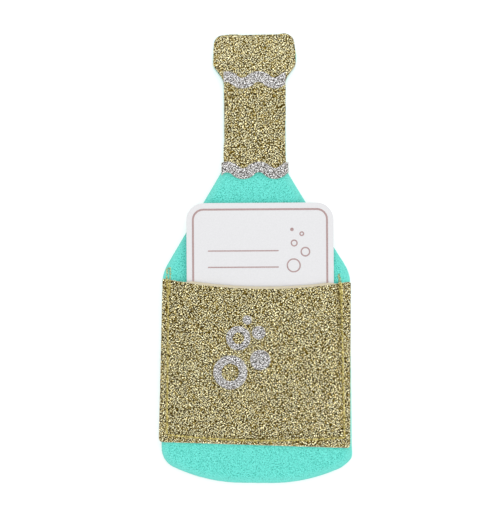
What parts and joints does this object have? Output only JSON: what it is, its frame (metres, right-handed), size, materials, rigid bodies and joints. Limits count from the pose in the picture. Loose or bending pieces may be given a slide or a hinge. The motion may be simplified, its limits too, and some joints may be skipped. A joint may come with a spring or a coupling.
{
  "type": "gift card holder",
  "caption": "Flat bottle-shaped felt gift card holder with a glitter cloth neck and a sewn glitter pocket that a card slides out of.",
  "frame": {"origin": "middle of the flat felt back, on the bottle's centre line at half its height", "axes": "+X across the bottle, +Y up the bottle towards the cork, +Z out of the front of the pocket"},
  "size_m": [0.0708, 0.1653, 0.006],
  "materials": {
    "felt": "matt felted turquoise",
    "gold_glitter": "pale gold flake glitter on cloth",
    "silver_glitter": "silver flake glitter on cloth",
    "bonding_film": "thin hot-melt film",
    "sewing_thread": "twisted yellow-gold polyester thread",
    "card_stock": "smooth white card with a rose-gold border line"
  },
  "bodies": {
    "holder": {"bottle_panel": "felt", "neck_panel": "gold_glitter", "neck_adhesive": "bonding_film", "upper_wave_band": "silver_glitter", "upper_band_adhesive": "bonding_film", "lower_wave_band": "silver_glitter", "lower_band_adhesive": "bonding_film", "pocket_panel": "gold_glitter", "bubble_1": "silver_glitter", "bubble_2": "silver_glitter", "bubble_3": "silver_glitter", "bubble_4": "silver_glitter", "bubble_5": "silver_glitter", "bubble_adhesive": "bonding_film", "needle_thread": "sewing_thread", "bobbin_thread": "sewing_thread"},
    "card": {"insert_card": "card_stock"}
  },
  "joints": [
    {"name": "card_slide", "type": "slide", "parent": "holder", "child": "card", "axis": [0, 0.9999, 0.0168], "range_m": [0, 0.06]}
  ]
}
